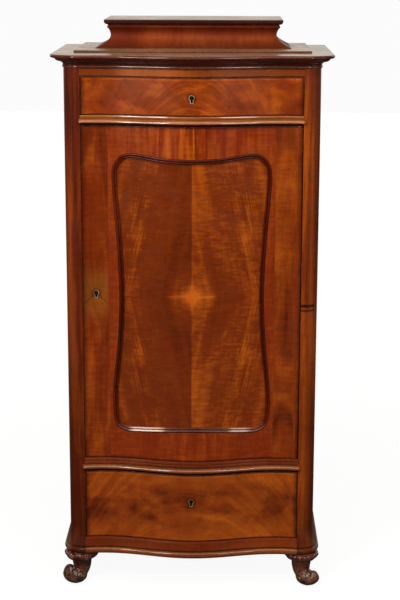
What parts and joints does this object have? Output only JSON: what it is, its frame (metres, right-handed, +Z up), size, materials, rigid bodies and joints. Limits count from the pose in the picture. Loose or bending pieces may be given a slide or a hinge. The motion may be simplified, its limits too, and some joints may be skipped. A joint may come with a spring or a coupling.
{
  "type": "pier cabinet",
  "caption": "Narrow tall pier cabinet with a serpentine front: drawers above and below a panelled door, moulded cornice with a box on top, scroll feet.",
  "frame": {"origin": "middle of the bounding box on the floor", "axes": "+X to the right seen from the front, -Y out of the front, +Z up"},
  "size_m": [0.723, 0.4892, 1.5],
  "materials": {
    "mahogany": "french polished",
    "flame_mahogany": "french polished",
    "dark_mahogany": "french polished",
    "pine": "bare",
    "brass": "aged",
    "iron": "plain"
  },
  "bodies": {
    "case": {"back_panel": "pine", "base_rail": "mahogany", "bottom_board": "pine", "box_back": "pine", "box_front": "flame_mahogany", "box_side_left": "flame_mahogany", "box_side_right": "flame_mahogany", "box_top": "mahogany", "corner_post_left": "mahogany", "corner_post_right": "mahogany", "cornice": "mahogany", "door_stop": "mahogany", "frieze_rail": "mahogany", "front_foot_left": "dark_mahogany", "front_foot_right": "dark_mahogany", "hinge_plate_case_bottom": "iron", "hinge_plate_case_top": "iron", "lower_divider_board": "pine", "lower_drawer_guide_left": "pine", "lower_drawer_guide_right": "pine", "lower_nose_rail": "mahogany", "plinth_board": "mahogany", "rear_foot_left": "dark_mahogany", "rear_foot_right": "dark_mahogany", "shelf_lower": "pine", "shelf_upper": "pine", "side_panel_left": "mahogany", "side_panel_right": "mahogany", "upper_divider_board": "pine", "upper_drawer_guide_left": "pine", "upper_drawer_guide_right": "pine", "upper_nose_rail": "mahogany"},
    "door": {"door_keyhole_rim": "brass", "door_lock_case": "iron", "door_moulding": "dark_mahogany", "door_panel": "flame_mahogany", "door_rail_bottom": "mahogany", "door_rail_top": "mahogany", "door_stile_left": "mahogany", "door_stile_right": "mahogany", "hinge_plate_door_bottom": "iron", "hinge_plate_door_top": "iron"},
    "upper_drawer": {"upper_drawer_back": "pine", "upper_drawer_bottom": "pine", "upper_drawer_front": "flame_mahogany", "upper_drawer_keyhole_rim": "brass", "upper_drawer_lock_case": "iron", "upper_drawer_side_left": "pine", "upper_drawer_side_right": "pine"},
    "lower_drawer": {"lower_drawer_back": "pine", "lower_drawer_bottom": "pine", "lower_drawer_front": "flame_mahogany", "lower_drawer_keyhole_rim": "brass", "lower_drawer_lock_case": "iron", "lower_drawer_side_left": "pine", "lower_drawer_side_right": "pine"},
    "door_bolt": {"door_bolt": "iron"},
    "upper_drawer_bolt": {"upper_drawer_bolt": "iron"},
    "lower_drawer_bolt": {"lower_drawer_bolt": "iron"}
  },
  "joints": [
    {"name": "door_hinge", "type": "hinge", "parent": "case", "child": "door", "pos_m": [0.2738, -0.17195, 0.8025], "axis": [0, 0, 1], "range_deg": [0, 105]},
    {"name": "upper_drawer_slide", "type": "slide", "parent": "case", "child": "upper_drawer", "axis": [0, -1, 0], "range_m": [0, 0.28]},
    {"name": "lower_drawer_slide", "type": "slide", "parent": "case", "child": "lower_drawer", "axis": [0, -1, 0], "range_m": [0, 0.28]},
    {"name": "door_bolt_slide", "type": "slide", "parent": "door", "child": "door_bolt", "axis": [-1, 0, 0], "range_m": [0, 0.01]},
    {"name": "upper_drawer_bolt_slide", "type": "slide", "parent": "upper_drawer", "child": "upper_drawer_bolt", "axis": [0, 0, 1], "range_m": [0, 0.01]},
    {"name": "lower_drawer_bolt_slide", "type": "slide", "parent": "lower_drawer", "child": "lower_drawer_bolt", "axis": [0, 0, 1], "range_m": [0, 0.01]}
  ]
}
